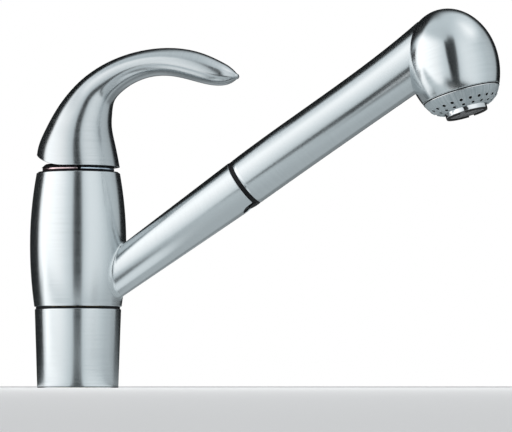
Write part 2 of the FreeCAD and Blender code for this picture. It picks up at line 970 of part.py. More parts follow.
def makeSprayFace():
    rim = headSeamRadius - seamGroove
    spigot = headRimBore - faceSpigotWall
    body = turned(
        (spigot, faceSpigotFoot),
        (headRimBore, faceSpigotFoot),
        (headRimBore, headSeam),
        (rim - seamGroove, headSeam),
        (rim, headSeam + seamGroove),
        ((faceBulgeRadius, faceBulge), (faceEndRadius, faceEnd)),
        (faceEndRadius, faceEnd - faceThickness),
        ((faceBulgeRadius - faceThickness / 2, faceBulge - faceThickness), (spigot, headSeam)),
    )
    jets = []
    for ringRadius, count in zip(jetRingRadii, jetCounts):
        for step in range(count):
            hole = rod(jetRadius, headSeam - faceThickness, faceEnd)
            hole.translate(FreeCAD.Vector(ringRadius, 0, 0))
            jets.append(turnedAbout(hole, 360 / count * step))
    return onHead(body.cut(jets))


def makeJetCollar():
    bore = coreNoseRadius + collarFit
    body = turned(
        (bore, collarTop),
        (collarFlangeRadius, collarTop),
        (collarFlangeRadius, collarTop + collarFlange),
        (collarRadius, collarTop + collarFlange),
        (collarRadius, collarRim),
        (aeratorRadius, collarRim),
        (aeratorRadius, aeratorTop),
        (bore, aeratorTop),
    )
    reach = collarRadius + cutRoom
    half = collarNotchWidth / 2
    notch = block((-half, -reach, collarRim - collarNotchDepth), (half, reach, collarRim))
    return onHead(body.cut(notch))


def makeAeratorHousing():
    foot = collarRim - aeratorInset
    inner = aeratorRadius - aeratorWall
    body = tube(aeratorRadius, inner, aeratorTop, foot)
    ribFoot = foot - 2 * meshThickness
    cross = block((-inner, -aeratorRib / 2, aeratorTop), (inner, aeratorRib / 2, ribFoot))
    return onHead(body.fuse([cross, turnedAbout(cross, 90)]))


def makeAeratorMesh():
    foot = collarRim - aeratorInset - meshThickness
    disc = rod(aeratorRadius - aeratorWall, foot - meshThickness, foot)
    holes = [rod(meshHoleRadius, foot - meshThickness, foot)]
    for ring in range(1, meshRingCount + 1):
        holeCount = meshSideCount * ring
        for step in range(holeCount):
            hole = rod(meshHoleRadius, foot - meshThickness, foot)
            hole.translate(FreeCAD.Vector(ring * meshHolePitch, 0, 0))
            holes.append(turnedAbout(hole, 360 / holeCount * step))
    return onHead(disc.cut(holes))


nodes = {
    "base_sleeve": makeBaseSleeve,
    "base_gasket": makeBaseGasket,
    "threaded_shank": makeThreadedShank,
    "rubber_washer": makeRubberWasher,
    "clamp_washer": makeClampWasher,
    "fixing_nut": makeFixingNut,
    "bearing_bush": makeBearingBush,
    "slide_ring": makeSlideRing,
    "swivel_screw": makeSwivelScrew,
    "swivel_sleeve": makeSwivelSleeve,
    "column_shell": makeColumnShell,
    "valve_body": makeValveBody,
    "port_seals": makePortSeals,
    "cartridge_base": makeCartridgeBase,
    "fixed_disc": makeFixedDisc,
    "moving_disc": makeMovingDisc,
    "disc_slider": makeDiscSlider,
    "cartridge_housing": makeCartridgeHousing,
    "spindle_carrier": makeSpindleCarrier,
    "pivot_pin": makePivotPin,
    "lever_stem": makeLeverStem,
    "cartridge_nut": makeCartridgeNut,
    "neck_ring": makeNeckRing,
    "hot_mark": makeHotMark,
    "cold_mark": makeColdMark,
    "lever_handle": makeLeverHandle,
    "lever_screw": makeLeverScrew,
    "lever_screw_cap": makeLeverScrewCap,
    "spout_tube": makeSpoutTube,
    "spout_bush": makeSpoutBush,
    "hose_bend": makeHoseBend,
    "spray_hose": makeSprayHose,
    "hose_ferrule": makeHoseFerrule,
    "strainer": makeStrainer,
    "hose_nut": makeHoseNut,
    "inlet_nipple": makeInletNipple,
    "dock_tail": makeDockTail,
    "handset_tube": makeHandsetTube,
    "head_shell": makeHeadShell,
    "spray_core": makeSprayCore,
    "water_tube": makeWaterTube,
    "face_seal": makeFaceSeal,
    "spray_face": makeSprayFace,
    "jet_collar": makeJetCollar,
    "aerator_housing": makeAeratorHousing,
    "aerator_mesh": makeAeratorMesh,
}

os.makedirs("parts", exist_ok=True)
for name, make in nodes.items():
    shape = make()
    shape.exportStep("parts/" + name + ".step")
    print(name, "solids", len(shape.Solids), "valid", shape.isValid(), "volume", round(shape.Volume, 1))
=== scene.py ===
import bmesh
import bpy
import numpy as np
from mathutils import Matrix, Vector


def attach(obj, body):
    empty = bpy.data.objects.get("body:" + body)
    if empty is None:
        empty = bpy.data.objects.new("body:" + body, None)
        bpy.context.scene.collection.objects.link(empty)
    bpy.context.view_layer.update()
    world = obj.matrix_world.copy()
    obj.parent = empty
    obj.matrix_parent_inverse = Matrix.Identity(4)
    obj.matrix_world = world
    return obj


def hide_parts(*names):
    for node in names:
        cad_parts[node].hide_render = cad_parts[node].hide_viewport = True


# Looks of a satin steel kitchen mixer with a pull-out spray.
# Sizes of the pieces are millimetres and degrees. Meshes and the stage are metres.

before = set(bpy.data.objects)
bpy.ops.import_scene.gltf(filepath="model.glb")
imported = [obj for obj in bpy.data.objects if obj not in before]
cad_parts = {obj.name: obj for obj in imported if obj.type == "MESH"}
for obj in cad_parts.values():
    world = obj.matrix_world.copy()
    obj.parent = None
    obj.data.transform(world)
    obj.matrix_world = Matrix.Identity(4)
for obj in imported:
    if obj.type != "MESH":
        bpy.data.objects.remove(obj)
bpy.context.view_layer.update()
print("frame loaded with", len(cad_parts), "solids")

mm = 0.001
roundSteps = 144
halvings = 40
# Points of a mesh that lie closer than this, in metres, become one
mergeWithin = 2e-6


# Local axes of a piece: origin, then three directions. The turn is about Y, as in the solids.
def localAxes(origin, turnDegrees):
    turn = np.radians(turnDegrees)
    across = np.array([np.cos(turn), 0.0, -np.sin(turn)])
    along = np.array([np.sin(turn), 0.0, np.cos(turn)])
    return dict(origin=np.array(origin, float), across=across, side=np.array([0.0, 1.0, 0.0]), along=along)


# Points given as (across, side, along) in local axes, as points of the object
def toObject(axes, local):
    return (axes["origin"] + local[..., 0:1] * axes["across"] + local[..., 1:2] * axes["side"]
            + local[..., 2:3] * axes["along"])


# Even angles once around
def ringAngles(steps):
    return 2 * np.pi * np.arange(steps) / steps


# Points at a radius and an angle about local axes, and at a height along them
def turned(axes, radius, angle, height):
    radius, angle, height = np.broadcast_arrays(radius, angle, height)
    return toObject(axes, np.stack([radius * np.cos(angle), radius * np.sin(angle), height], -1))


# Surface of revolution: every (radius, height) of the profile taken once around
def revolved(profile, axes, steps=roundSteps):
    return turned(axes, profile[:, 0, None], ringAngles(steps), profile[:, 1, None])


# Mix of two values by a share
def mixed(one, other, share):
    return one + (other - one) * share


# Parabola from start to end that leaves and arrives along the lines to the corner
def parabola(start, corner, end, t):
    return (1 - t) ** 2 * start + 2 * t * (1 - t) * corner + t ** 2 * end


# Last place between low and high where a test holds, found by halving
def lastPlace(low, high, holds):
    for _ in range(halvings):
        mid = (low + high) / 2
        inside = holds(mid)
        low, high = np.where(inside, mid, low), np.where(inside, high, mid)
    return (low + high) / 2


# Points drawn in towards the upright axis by a distance
def drawnIn(points, distance):
    share = 1 - distance / np.hypot(points[:, 0], points[:, 1])
    return np.column_stack([points[:, :2] * share[:, None], points[:, 2]])


# Radius at a height on the arc that stands upright at the belly and goes through another radius and height
def bellyArc(height, bellyRadius, bellyHeight, otherRadius, otherHeight):
    inset, rise = bellyRadius - otherRadius, otherHeight - bellyHeight
    big = (inset ** 2 + rise ** 2) / (2 * inset)
    return bellyRadius - big + np.sqrt(big ** 2 - (height - bellyHeight) ** 2)


# Mesh on a grid of points: rows run along the piece, columns run around it.
# The UV map holds the run along the rows and the run around, both in metres.
def skin(name, points, closedAlong=False, closedAround=True):
    rows, cols = points.shape[:2]
    a, b = np.meshgrid(np.arange(rows if closedAlong else rows - 1),
                       np.arange(cols if closedAround else cols - 1), indexing="ij")
    a, b = a.ravel(), b.ravel()
    aNext, bNext = a + 1, b + 1
    quads = np.stack([a * cols + b, (aNext % rows) * cols + b,
                      (aNext % rows) * cols + bNext % cols, a * cols + bNext % cols], 1)
    step = np.linalg.norm(np.diff(points, axis=0, append=points[:1]), axis=2).mean(1)
    alongRun = np.concatenate([[0.0], np.cumsum(step)])
    stepAround = np.linalg.norm(np.diff(points, axis=1, append=points[:, :1]), axis=2).max(0)
    aroundRun = np.concatenate([[0.0], np.cumsum(stepAround)])
    uv = np.stack([np.stack([alongRun[i], aroundRun[j]], 1) for i, j in
                   ((a, b), (aNext, b), (aNext, bNext), (a, bNext))], 1) * mm
    flat = points.reshape(-1, 3)
    p0, p1, p2, p3 = (flat[quads[:, k]] for k in range(4))
    bulk = (np.cross(p0, p1) * p2).sum() + (np.cross(p0, p2) * p3).sum()
    if bulk < 0:
        quads, uv = quads[:, ::-1], uv[:, ::-1]
    mesh = bpy.data.meshes.new(name)
    mesh.vertices.add(len(flat))
    mesh.vertices.foreach_set("co", (flat * mm).astype(np.float32).ravel())
    mesh.loops.add(quads.size)
    mesh.loops.foreach_set("vertex_index", quads.astype(np.int32).ravel())
    mesh.polygons.add(len(quads))
    mesh.polygons.foreach_set("loop_start", np.arange(0, quads.size, 4, dtype=np.int32))
    mesh.update(calc_edges=True)
    layer = mesh.uv_layers.new(name="brush")
    layer.data.foreach_set("uv", uv.astype(np.float32).ravel())
    merged = bmesh.new()
    merged.from_mesh(mesh)
    bmesh.ops.remove_doubles(merged, verts=merged.verts, dist=mergeWithin)
    merged.to_mesh(mesh)
    merged.free()
    mesh.polygons.foreach_set("use_smooth", np.ones(len(mesh.polygons), bool))
    mesh.update()
    piece = bpy.data.objects.new(name, mesh)
    bpy.context.scene.collection.objects.link(piece)
    return piece


# Chain of (radius, height) corners, some with a rounding. A rounded corner is a parabola between the points
# that lie one rounding before and after it, with a holding point further out on each straight run.
def rounded(corners, arcSteps=5, hold=0.4):
    spots = np.array([c[:2] for c in corners], float)
    parts = []
    for k, (spot, before, after) in enumerate(zip(spots, np.roll(spots, 1, 0), np.roll(spots, -1, 0))):
        if len(corners[k]) < 3:
            parts.append(spot[None])
            continue
        size = corners[k][2]
        back, ahead = before - spot, after - spot
        backRun, aheadRun = np.linalg.norm(back), np.linalg.norm(ahead)
        back, ahead = back / backRun, ahead / aheadRun
        t = np.linspace(0, 1, arcSteps + 1)[:, None]
        arc = parabola(spot + back * size, spot, spot + ahead * size, t)
        outBack = spot + back * min(size + hold, backRun / 2)
        outAhead = spot + ahead * min(size + hold, aheadRun / 2)
        parts.append(np.vstack([outBack, arc, outAhead]))
    return np.vstack(parts)


# Corners of a profile in words: each is a radius, a height and perhaps a rounding, named as in the sizes
def cornersOf(sizes, words):
    return [tuple(sizes[word] if word in sizes else float(word) for word in corner.split())
            for corner in words.split(",")]


# Natural cubic spline through the knots, for any number of columns at once
def spline(knots, values, at):
    gap = np.diff(knots)
    n = len(knots)
    lhs = np.eye(n)
    rhs = np.zeros((n, values.shape[1]))
    inner = np.arange(1, n - 1)
    lhs[inner, inner - 1] = gap[:-1]
    lhs[inner, inner] = 2 * (gap[:-1] + gap[1:])
    lhs[inner, inner + 1] = gap[1:]
    slope = np.diff(values, axis=0) / gap[:, None]
    rhs[1:-1] = 6 * np.diff(slope, axis=0)
    bend = np.linalg.solve(lhs, rhs)
    k = np.clip(np.searchsorted(knots, at) - 1, 0, n - 2)
    left, right, h = (at - knots[k])[:, None], (knots[k + 1] - at)[:, None], gap[k][:, None]
    return (bend[k] * right ** 3 / (6 * h) + bend[k + 1] * left ** 3 / (6 * h)
            + (values[k] / h - bend[k] * h / 6) * right + (values[k + 1] / h - bend[k + 1] * h / 6) * left)


# A finished piece rides on its body, takes its material, and may stand for solids
def fit(piece, body, slotName, material, *nodes):
    piece.data.materials.append(material)
    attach(piece, body)
    if nodes:
        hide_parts(*nodes)


# A piece turned from a closed profile
def fitTurned(name, profile, axes, *look):
    fit(skin(name, revolved(profile, axes), closedAlong=True), *look)


# Materials

def newMaterial(name):
    material = bpy.data.materials.new(name)
    material.use_nodes = True
    tree = material.node_tree
    return material, tree, tree.nodes["Principled BSDF"]


# Input sockets by name take a value, or a link from the output of another node
def feed(tree, node, sockets):
    for key, value in sockets.items():
        if isinstance(value, bpy.types.NodeSocket):
            tree.links.new(value, node.inputs[key])
        else:
            node.inputs[key].default_value = value


# A new node with its properties, fed at its input sockets
def addNode(tree, kind, sockets, **values):
    node = tree.nodes.new(kind)
    for key, value in values.items():
        setattr(node, key, value)
    feed(tree, node, sockets)
    return node.outputs


def ramp(tree, source, low, high, fromLow=0.35, fromHigh=0.65):
    return addNode(tree, "ShaderNodeMapRange", {"Value": source, "From Min": fromLow, "From Max": fromHigh,
                                                "To Min": low, "To Max": high})["Result"]


def tinted(tree, source, low, high):
    return addNode(tree, "ShaderNodeMix", {"Factor": source, "A": (*low, 1), "B": (*high, 1)},
                   data_type="RGBA")["Result"]


def noiseAt(tree, place, scale, detail, **values):
    return addNode(tree, "ShaderNodeTexNoise", {"Vector": place, "Scale": scale, "Detail": detail},
                   **values)["Fac"]


def objectPlace(tree):
    return addNode(tree, "ShaderNodeTexCoord", {})["Object"]


def lifted(tree, height, strength, distance):
    return addNode(tree, "ShaderNodeBump",
                   {"Height": height, "Strength": strength, "Distance": distance})["Normal"]


# Brushed metal: lines run around the piece, so the noise is stretched around and fine along it,
# and the gloss spreads along the piece
def brushedMetal(name, low, high, roughness, spread, lines=(2600.0, 26.0), depth=0.012, anisotropy=0.5,
                 metallic=1.0, lineDetail=3.0, cloudScale=38.0, cloudDetail=2.0, lift=0.0002):
    material, tree, shader = newMaterial(name)
    place = addNode(tree, "ShaderNodeUVMap", {}, uv_map="brush")["UV"]
    stretched = addNode(tree, "ShaderNodeMapping", {"Vector": place, "Scale": (*lines, 1.0)})["Vector"]
    line = noiseAt(tree, stretched, 1.0, lineDetail, noise_dimensions="2D")
    cloud = noiseAt(tree, objectPlace(tree), cloudScale, cloudDetail)
    rough = addNode(tree, "ShaderNodeMath", {0: ramp(tree, line, roughness - spread, roughness + spread),
                                             1: ramp(tree, cloud, -spread / 2, spread / 2)}, operation="ADD")
    tangent = addNode(tree, "ShaderNodeTangent", {}, direction_type="UV_MAP", uv_map="brush")
    feed(tree, shader, {"Base Color": tinted(tree, ramp(tree, line, 0, 1), low, high),
                        "Roughness": rough["Value"], "Normal": lifted(tree, line, depth, lift),
                        "Tangent": tangent["Tangent"], "Metallic": metallic, "Anisotropic": anisotropy})
    return material


# Plain solid finish: a noise in object space shifts the colour and roughness, and lifts the surface a little
def grained(name, low, high, roughness, spread=0.05, scale=900.0, metallic=0.0, depth=0.15, gloss=0.5,
            detail=4.0, lift=0.0001):
    material, tree, shader = newMaterial(name)
    grain = noiseAt(tree, objectPlace(tree), scale, detail)
    feed(tree, shader, {"Base Color": tinted(tree, ramp(tree, grain, 0, 1), low, high),
                        "Roughness": ramp(tree, grain, roughness - spread, roughness + spread),
                        "Normal": lifted(tree, grain, depth, lift), "Metallic": metallic,
                        "Specular IOR Level": gloss})
    return material


steelTones = (0.625, 0.66, 0.675), (0.66, 0.695, 0.71)
satinSteel = brushedMetal("satin_steel", *steelTones, 0.225, 0.025)
headSteel = brushedMetal("head_steel", *steelTones, 0.185, 0.02)
# The lever's steel is the satin steel with a darker colour: painted shade, as the lever is the same metal
shadedLeverSteel = brushedMetal("shaded_lever_steel", (0.55, 0.58, 0.595), (0.59, 0.62, 0.635), 0.225, 0.025)
weldSteel = brushedMetal("weld_steel", (0.61, 0.65, 0.665), (0.66, 0.7, 0.715), 0.26, 0.03,
                         lines=(900.0, 60.0), anisotropy=0.0)
faceGrey = brushedMetal("face_grey", (0.26, 0.31, 0.33), (0.38, 0.43, 0.45), 0.36, 0.05,
                        lines=(50.0, 1900.0), depth=0.1, anisotropy=0.0, metallic=0.25)
chrome = grained("polished_chrome", (0.78, 0.79, 0.8), (0.82, 0.83, 0.84), 0.07, 0.02, 500.0, 1.0, 0.02)
plainSteel = grained("plain_steel", (0.5, 0.5, 0.51), (0.6, 0.6, 0.6), 0.33, 0.08, 1500.0, 1.0)
turnedBrass = grained("turned_brass", (0.66, 0.48, 0.2), (0.76, 0.58, 0.29), 0.3, 0.07, 700.0, 1.0)
rubber = grained("soft_rubber", (0.012, 0.012, 0.012), (0.03, 0.03, 0.03), 0.7, 0.1, 1600.0, 0.0, 0.3, 0.15)
blackPlastic = grained("black_plastic", (0.004, 0.004, 0.005), (0.01, 0.01, 0.011), 0.45, 0.08, 2200.0, 0.0,
                       0.2, 0.12)
whitePlastic = grained("white_plastic", (0.74, 0.74, 0.71), (0.82, 0.82, 0.8), 0.45, 0.06, 1200.0)
groundCeramic = grained("ground_ceramic", (0.8, 0.79, 0.74), (0.88, 0.87, 0.83), 0.18, 0.04, 2500.0)
sprayGrey = grained("spray_grey", (0.3, 0.35, 0.37), (0.38, 0.43, 0.45), 0.36, 0.06, 1800.0, 0.0, 0.2)
aeratorGrey = grained("aerator_grey", (0.13, 0.135, 0.14), (0.19, 0.195, 0.2), 0.5, 0.06, 1500.0)
# Near black without gloss: the groove seal's own colour, and painted shade in the jet holes
sealBlackAndHoleShade = grained("seal_black_and_hole_shade", (0.002, 0.002, 0.002), (0.006, 0.006, 0.006), 0.8, 0.05, 2000.0, gloss=0.05)
hotEnamel = grained("hot_enamel", (0.84, 0.64, 0.66), (0.9, 0.7, 0.72), 0.2, 0.03, 1500.0, 1.0, 0.02)
coldEnamel = grained("cold_enamel", (0.64, 0.74, 0.84), (0.7, 0.8, 0.9), 0.2, 0.03, 1500.0, 1.0, 0.02)
hoseBraid = grained("hose_braid", (0.28, 0.28, 0.29), (0.46, 0.46, 0.47), 0.5, 0.1, 1400.0, 0.2, 0.8)

# Solids that stay as they are, by finish
solidFinishes = (
    (turnedBrass, "threaded_shank valve_body swivel_sleeve fixing_nut cartridge_nut hose_nut inlet_nipple"),
    (plainSteel, "clamp_washer lever_screw pivot_pin hose_ferrule lever_stem"),
    (aeratorGrey, "aerator_mesh aerator_housing"),
    (rubber, "base_gasket rubber_washer port_seals face_seal"),
    (blackPlastic, "slide_ring spout_bush dock_tail strainer"),
    (whitePlastic, "bearing_bush cartridge_base cartridge_housing disc_slider spindle_carrier spray_core"
                   " water_tube"),
    (groundCeramic, "fixed_disc moving_disc"),
    (hoseBraid, "hose_bend"),
)
for finish, names in solidFinishes:
    for name in names.split():
        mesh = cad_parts[name].data
        mesh.materials.clear()
        mesh.materials.append(finish)
print("materials made")

upright = localAxes((0, 0, 0), 0)

# Base: a slightly tapered sleeve with a stepped bore
base = dict(footRadius=23.65, topRadius=25.2, height=45.85, floor=9.0, shank=16.5, cavity=20.5,
            bushBore=21.06, bushFoot=22.0, footEdge=0.5, topEdge=0.7)
baseProfile = rounded(cornersOf(
    base, "shank 0, footRadius 0 footEdge, topRadius height topEdge, bushBore height, bushBore bushFoot,"
          " cavity bushFoot, cavity floor, shank floor"))
fitTurned("base_skin", baseProfile, upright, "base", "satin_steel", satinSteel, "base_sleeve")

# Stop screw at the back of the base: a turned end with a six sided socket
screw = dict(rise=16.0, radius=2.45, proud=0.45, sink=1.0, bevel=0.3, socket=1.25, socketRim=0.12,
             socketEdge=0.08, floor=0.05, steps=72)
screwSeat = mixed(base["footRadius"], base["topRadius"], screw["rise"] / base["height"])
screwAxes = localAxes((-screwSeat, 0, screw["rise"]), -90)
screwAngle = ringAngles(screw["steps"])
# Radius of a hexagon is its half width over the cosine of the angle from the nearest flat
socketRing = screw["socket"] / np.cos((screwAngle + np.pi / 6) % (np.pi / 3) - np.pi / 6)
screwRows = (
    (0.0, -screw["sink"]),
    (screw["radius"], -screw["sink"]),
    (screw["radius"], screw["proud"] - screw["bevel"]),
    (screw["radius"] - screw["bevel"], screw["proud"]),
    (socketRing + screw["socketRim"], screw["proud"]),
    (socketRing, screw["proud"] - screw["socketEdge"]),
    (socketRing, screw["floor"]),
    (0.0, screw["floor"]),
)
screwPoints = np.stack([turned(screwAxes, ring, screwAngle, level) for ring, level in screwRows])
fit(skin("stop_screw", screwPoints), "base", "plain_steel", plainSteel, "swivel_screw")

# Column: a barrel of two arcs that stand upright at the belly
column = dict(foot=47.0, heel=47.25, top=125.5, footRadius=25.5, bellyRadius=28.1, bellyHeight=84.0,
              topRadius=24.4, edge=0.5, rim=125.25, rimEdge=0.35, footRun=1.2, topRun=1.4, bore=21.2,
              boreEdge=0.2, sleeveBore=20.0, sleeveTop=50.5, barrelRows=80)


# Barrel radius at a height: the arc through the belly and the foot, or through the belly and the top
def barrelRadius(height):
    belly = column["bellyRadius"], column["bellyHeight"]
    below = bellyArc(height, *belly, column["footRadius"], column["foot"] + column["edge"])
    above = bellyArc(height, *belly, column["topRadius"], column["top"] - column["edge"])
    return np.where(height < column["bellyHeight"], below, above)


barrelHeights = np.linspace(column["heel"] + column["footRun"], column["rim"] - column["topRun"],
                            column["barrelRows"])
columnProfile = rounded((
    *cornersOf(column, "sleeveBore heel, footRadius heel edge"),
    *zip(barrelRadius(barrelHeights), barrelHeights),
    *cornersOf(column, "topRadius rim rimEdge, bore rim boreEdge, bore sleeveTop, sleeveBore sleeveTop"),
))
fitTurned("column_skin", columnProfile, upright, "column", "satin_steel", satinSteel, "column_shell")
print("base and column made")

# Spout: a cone that starts at the barrel, with a U notch under its mouth.
# A step of its lip is how far back and how far in it lies, in shares of the lip.
spout = dict(rise=49.4, elevation=33.95, length=121.4, rootStation=18.0, farStation=80.0, rootRadius=12.0,
             mouthRadius=14.7, wall=2.05, notchHalf=6.0, notchDepth=8.8, notchStep=0.008, lip=0.3,
             lipSteps=((0.6, 0.02), (0.3, 0.12), (0.1, 0.35), (0.0, 0.8), (0.0, 1.4)), sink=0.8, rows=60,
             plainCols=150, notchCols=45)
spoutAxes = localAxes((0, 0, spout["rise"]), 90 - spout["elevation"])


# Points of the spout cone, grown by a margin, at an angle and a station
def onSpout(angle, station, margin=0.0):
    share = (station - spout["rootStation"]) / (spout["length"] - spout["rootStation"])
    radius = mixed(spout["rootRadius"], spout["mouthRadius"], share) + margin
    return turned(spoutAxes, radius, angle, station)


# Station where the cone leaves the barrel
def leaveStation(angle, margin=0.0):
    def inBarrel(station):
        spot = onSpout(angle, station, margin)
        height = np.clip(spot[..., 2], column["foot"], column["top"] - column["edge"])
        return np.hypot(spot[..., 0], spot[..., 1]) < barrelRadius(height)
    return lastPlace(spout["rootStation"], spout["farStation"], inBarrel)


notchTurn = np.arcsin(spout["notchHalf"] / spout["mouthRadius"])
plainStart = notchTurn + spout["notchStep"]
plainAngle = np.linspace(plainStart, 2 * np.pi - plainStart, spout["plainCols"])
notchAngle = np.linspace(-notchTurn, notchTurn, spout["notchCols"])
spoutAngle = np.concatenate([plainAngle, notchAngle])
notchSide = spout["mouthRadius"] * np.sin(notchAngle)
notchEnd = (spout["length"] - spout["notchDepth"] + spout["notchHalf"]
            - np.sqrt(np.clip(spout["notchHalf"] ** 2 - notchSide ** 2, 0, None)))
mouthStation = np.concatenate([np.full(spout["plainCols"], spout["length"]), notchEnd])
rootStation = leaveStation(spoutAngle) - spout["sink"]
outerStation = mixed(rootStation, mouthStation - spout["lip"], np.linspace(0, 1, spout["rows"])[:, None])
outerRows = onSpout(spoutAngle, outerStation)
innerRows = onSpout(spoutAngle, outerStation, -spout["wall"])[::-1]
lipRows = [onSpout(spoutAngle, mouthStation - spout["lip"] * back, -spout["lip"] * into)
           for back, into in spout["lipSteps"]]
lipRows.append(onSpout(spoutAngle, mouthStation, -spout["wall"]))
fit(skin("spout_skin", np.concatenate([outerRows, lipRows, innerRows]), closedAlong=True), "column",
    "satin_steel", satinSteel, "spout_tube")

# Weld between spout and column: a hollow fillet from the cone to the barrel, widest at the sides
weld = dict(reach=1.6, sideReach=2.4, rows=17, steps=180, sink=0.6, hold=0.5, under=0.06)
weldAngle = ringAngles(weld["steps"])
weldReach = mixed(weld["reach"], weld["sideReach"], np.sin(weldAngle) ** 2)
jointStation = leaveStation(weldAngle)


# Points of the barrel that lie a margin off the cone
def besideSpout(margin):
    return onSpout(weldAngle, leaveStation(weldAngle, margin), margin)


weldRows = parabola(onSpout(weldAngle, jointStation + weldReach), onSpout(weldAngle, jointStation),
                    besideSpout(weldReach), np.linspace(0, 1, weld["rows"])[:, None, None])
# Both edges run on a little under the surfaces
weldOut = onSpout(weldAngle, jointStation + weldReach + weld["hold"], -weld["under"])
weldIn = drawnIn(besideSpout(weldReach + weld["hold"]), weld["under"])
weldCore = onSpout(weldAngle, jointStation - weld["sink"], -weld["sink"])
weldPoints = np.concatenate([weldOut[None], weldRows, weldIn[None], weldCore[None]])
fit(skin("spout_weld", weldPoints, closedAlong=True), "column", "satin_steel", weldSteel)

# Dark ring in the seam at the mouth, over the edge of the bush
seamRing = dict(start=121.35, end=123.95, radius=14.45, bore=13.9, edge=0.2)
seamProfile = rounded(cornersOf(seamRing, "bore start, radius start, radius end edge, bore end"))
fitTurned("seam_ring", seamProfile, spoutAxes, "column", "black_plastic", blackPlastic)
print("spout made")

# Handset handle: circles along the spout axis, with a flare that lifts towards the top of the head.
# Radius and lift are cubics of the station.
handle = dict(start=124.0, stations=(123.6, 173.0, 222.45, 258.45), radii=(14.55, 14.84, 15.2, 16.5),
              lifts=(0.0, -0.1, -0.42, 0.35), wall=1.2, edge=0.3, rows=70)
handleRun = np.linspace(handle["start"] + handle["edge"], handle["stations"][-1], handle["rows"])
handleStation = np.concatenate([[handle["start"]], handleRun])
handleRadius, handleLift = (np.polyval(np.polyfit(handle["stations"], handle[key], 3), handleStation)
                            for key in ("radii", "lifts"))
handleRadius[0] -= handle["edge"]
handleBore = handle["radii"][0] - handle["wall"] + 0 * handleLift


# Rings about the handle's own line, which lifts away from the spout axis
def handleRings(radius, lift):
    rings = turned(spoutAxes, radius[:, None], ringAngles(roundSteps), handleStation[:, None])
    return rings - lift[:, None, None] * spoutAxes["across"]


handlePoints = np.concatenate([handleRings(handleRadius, handleLift),
                               handleRings(handleBore, 0 * handleLift)[::-1]])
fit(skin("handset_skin", handlePoints, closedAlong=True), "handset", "satin_steel", satinSteel,
    "handset_tube")

# Egg head: half an ellipse over the belly, then an arc to the seam of the face
head = dict(station=262.45, drop=10.4, lean=16.2, radius=26.2, belly=4.3, pole=-27.7, seam=22.3,
            seamRadius=22.4, rimBore=20.4, rimSeat=15.0, cavityPole=-20.0, edge=0.35, boreEdge=0.2, hold=0.2,
            skirtRun=0.6, domeRows=60, skirtRows=20)
headMiddle = toObject(spoutAxes, np.array([head["drop"], 0.0, head["station"]]))
headAxes = localAxes(headMiddle, 180 - head["lean"])
domeTurn = np.linspace(np.pi / 2, 0, head["domeRows"])
dome = np.stack([head["radius"] * np.cos(domeTurn),
                 mixed(head["belly"], head["pole"], np.sin(domeTurn))], 1)
skirtHeight = np.linspace(head["belly"], head["seam"] - head["skirtRun"], head["skirtRows"])[1:]
skirt = np.stack([bellyArc(skirtHeight, head["radius"], head["belly"], head["seamRadius"], head["seam"]),
                  skirtHeight], 1)
rimCorners = cornersOf(head, "seamRadius seam edge, rimBore seam boreEdge, rimBore rimSeat, 0 cavityPole")
rim = rounded((tuple(skirt[-1]), *rimCorners), hold=head["hold"])[1:]
fit(skin("head_skin", revolved(np.vstack([dome, skirt, rim]), headAxes)), "handset", "satin_steel", headSteel,
    "head_shell")

# Spray face: an arc from the seam to the middle hole
face = dict(spigot=20.35, spigotFoot=19.2, seam=22.3, groove=21.25, rim=22.0, foot=23.05, bulgeRadius=18.5,
            bulge=28.3, arcEnd=12.9, lipRadius=12.65, lipTop=31.3, lipFoot=31.05, endRadius=12.6, end=31.4,
            seat=29.6, ledge=14.2, ledgeFoot=27.8, back=18.55, backFoot=21.7, rows=26)


# Circle through three points of the half plane: centre and radius
def circleThrough(p, q, r):
    p, q, r = np.array((p, q, r))
    centre = np.linalg.solve(2 * np.array([q - p, r - p]), np.array([q @ q - p @ p, r @ r - p @ p]))
    return centre, np.linalg.norm(centre - p)


faceCentre, faceArc = circleThrough(*cornersOf(face, "rim foot, bulgeRadius bulge, endRadius end"))
faceRadius = np.linspace(face["rim"], face["arcEnd"], face["rows"])


def faceHeight(radius):
    return faceCentre[1] + np.sqrt(faceArc ** 2 - (radius - faceCentre[0]) ** 2)


faceProfile = np.vstack([
    cornersOf(face, "spigot spigotFoot, spigot seam, groove seam"),
    np.stack([faceRadius, faceHeight(faceRadius)], 1),
    cornersOf(face, "lipRadius lipTop, endRadius lipFoot, endRadius seat, ledge seat, ledge ledgeFoot,"
                    " back backFoot"),
])
fitTurned("face_skin", faceProfile, headAxes, "handset", "grey_plastic", faceGrey, "spray_face")

# Bright bead around the rim of the face
trim = dict(radius=0.26, inset=0.05, steps=12)
trimTurn = ringAngles(trim["steps"])
trimProfile = np.stack([face["rim"] - trim["inset"] + trim["radius"] * np.cos(trimTurn),
                        face["foot"] + trim["radius"] * np.sin(trimTurn)], 1)
fitTurned("face_trim", trimProfile, headAxes, "handset", "chrome", chrome)

# Dark seal in the groove between head and face
seal = dict(inner=20.25, outer=22.05, foot=22.0, top=23.05)
sealProfile = np.array(cornersOf(seal, "inner foot, outer foot, outer top, inner top"))
fitTurned("groove_seal", sealProfile, headAxes, "handset", "black_rubber", sealBlackAndHoleShade)

# Two rings of soft jets, each a radius and a count
jet = dict(rings=((18.8, 22), (15.7, 18)), root=-0.4, base=1.3, shoulder=1.23, bevel=0.22, top=1.15,
           height=0.3, hole=1.0, floor=0.05, boreFloor=0.02, boreTop=0.24, steps=12)


